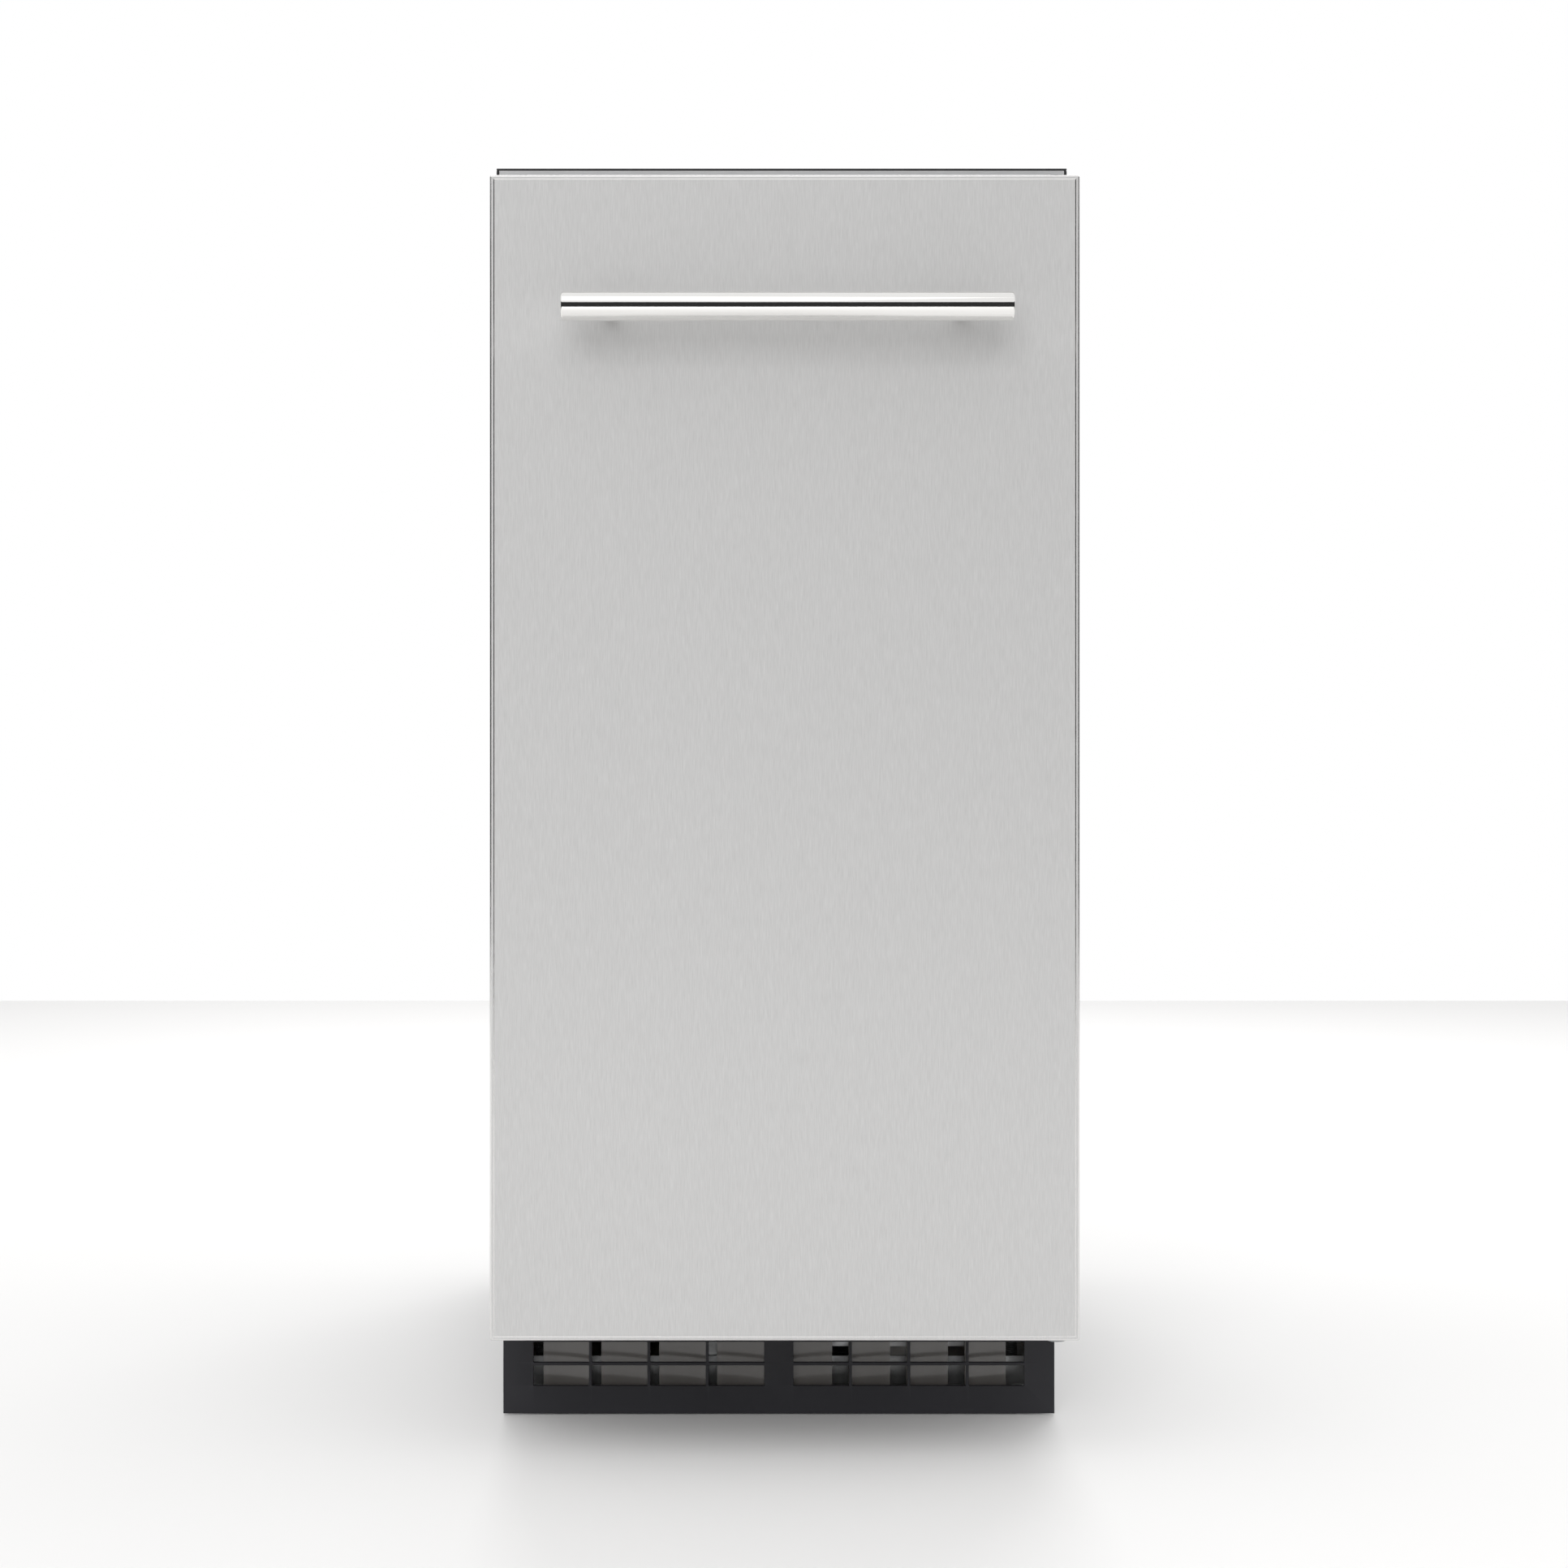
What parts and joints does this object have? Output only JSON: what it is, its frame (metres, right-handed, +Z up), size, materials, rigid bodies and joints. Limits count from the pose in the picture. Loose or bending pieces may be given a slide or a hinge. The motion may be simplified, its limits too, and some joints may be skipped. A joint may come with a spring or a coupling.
{
  "type": "undercounter ice maker",
  "caption": "Built-in undercounter ice maker with a hinged stainless door, bar handle, recessed toe grille, lined ice bin and clear-ice mechanism.",
  "frame": {"origin": "middle of the footprint at floor level, under the feet", "axes": "+Z up, +X to the right seen from the front, +Y towards the back"},
  "size_m": [0.378, 0.654, 0.84],
  "materials": {
    "door_steel": "fine vertical brushed grain, satin",
    "handle_steel": "polished stainless",
    "trim_steel": "brushed, narrow strip",
    "cabinet_black": "satin black powder coat with fine texture",
    "zinc_steel": "zinc plated, dull",
    "toe_charcoal": "charcoal, satin moulded",
    "louvre_dark": "glossy dark moulded",
    "liner_white": "white moulded liner, soft sheen",
    "grey_plastic": "moulded, satin",
    "clear_plastic": "translucent, smooth",
    "foam_fill": "rigid polyurethane foam",
    "seal_rubber": "soft black seal",
    "copper_tube": "bright drawn tube",
    "aluminium_fin": "thin fins",
    "compressor_black": "gloss black enamel"
  },
  "bodies": {
    "cabinet": {"left_side_panel": "cabinet_black", "right_side_panel": "cabinet_black", "top_panel": "cabinet_black", "rear_panel": "zinc_steel", "rear_service_cover": "zinc_steel", "base_pan": "zinc_steel", "front_frame": "cabinet_black", "top_front_trim": "trim_steel", "insulation_foam": "foam_fill", "bin_liner": "liner_white", "upper_hinge_plate": "zinc_steel", "lower_hinge_plate": "zinc_steel", "upper_hinge_pin": "zinc_steel", "lower_hinge_pin": "zinc_steel", "toe_grille": "toe_charcoal", "louvre_bank_left": "louvre_dark", "louvre_bank_right": "louvre_dark", "compressor": "compressor_black", "condenser": "aluminium_fin", "fan_shroud": "cabinet_black", "fan_motor": "zinc_steel", "filter_drier": "copper_tube", "suction_line": "copper_tube", "discharge_line": "copper_tube", "liquid_line": "copper_tube", "control_box": "zinc_steel", "power_inlet_gland": "seal_rubber", "water_inlet_valve": "liner_white", "water_fill_tube": "clear_plastic", "drain_tube": "grey_plastic", "mechanism_frame": "zinc_steel", "evaporator_plate": "handle_steel", "evaporator_coil": "copper_tube", "water_distributor": "liner_white", "cutter_grid": "grey_plastic", "water_reservoir": "liner_white", "circulation_pump": "grey_plastic", "pump_riser_tube": "clear_plastic", "control_panel": "grey_plastic", "scoop_holder": "clear_plastic", "bin_level_sensor": "copper_tube"},
    "door": {"door_skin": "door_steel", "door_foam": "foam_fill", "door_liner": "liner_white", "door_gasket": "seal_rubber", "handle_bar": "handle_steel", "handle_post_left": "handle_steel", "handle_post_right": "handle_steel", "upper_door_bush": "grey_plastic", "lower_door_bush": "grey_plastic"},
    "fan_rotor": {"fan_rotor": "grey_plastic"},
    "power_button": {"power_button": "liner_white"},
    "clean_button": {"clean_button": "liner_white"},
    "scoop": {"scoop": "liner_white"},
    "water_curtain": {"water_curtain": "clear_plastic"},
    "reservoir_float": {"reservoir_float": "liner_white"},
    "leg_front_left": {"leg_front_left": "zinc_steel"},
    "leg_front_right": {"leg_front_right": "zinc_steel"},
    "leg_rear_left": {"leg_rear_left": "zinc_steel"},
    "leg_rear_right": {"leg_rear_right": "zinc_steel"}
  },
  "joints": [
    {"name": "door_hinge", "type": "hinge", "parent": "cabinet", "child": "door", "pos_m": [0.177, -0.2525, 0.45], "axis": [0, 0, 1], "range_deg": [0, 115]},
    {"name": "fan_spin", "type": "hinge", "parent": "cabinet", "child": "fan_rotor", "pos_m": [0.0525, -0.0864, 0.127], "axis": [0, 1, 0], "continuous": true},
    {"name": "power_press", "type": "slide", "parent": "cabinet", "child": "power_button", "axis": [0, 1, 0], "range_m": [0, 0.0015], "stiffness_N_per_m": 300},
    {"name": "clean_press", "type": "slide", "parent": "cabinet", "child": "clean_button", "axis": [0, 1, 0], "range_m": [0, 0.0015], "stiffness_N_per_m": 300},
    {"name": "scoop_lift", "type": "slide", "parent": "cabinet", "child": "scoop", "axis": [0, 0, 1], "range_m": [0, 0.06]},
    {"name": "curtain_swing", "type": "hinge", "parent": "cabinet", "child": "water_curtain", "pos_m": [0, 0.022, 0.778], "axis": [-1, 0, 0], "range_deg": [0, 60]},
    {"name": "float_rise", "type": "slide", "parent": "cabinet", "child": "reservoir_float", "axis": [0, 0, 1], "range_m": [0, 0.02]},
    {"name": "leg_front_left_screw_out", "type": "slide", "parent": "cabinet", "child": "leg_front_left", "axis": [0, 0, -1], "range_m": [0, 0.02]},
    {"name": "leg_front_right_screw_out", "type": "slide", "parent": "cabinet", "child": "leg_front_right", "axis": [0, 0, -1], "range_m": [0, 0.02]},
    {"name": "leg_rear_left_screw_out", "type": "slide", "parent": "cabinet", "child": "leg_rear_left", "axis": [0, 0, -1], "range_m": [0, 0.02]},
    {"name": "leg_rear_right_screw_out", "type": "slide", "parent": "cabinet", "child": "leg_rear_right", "axis": [0, 0, -1], "range_m": [0, 0.02]}
  ]
}
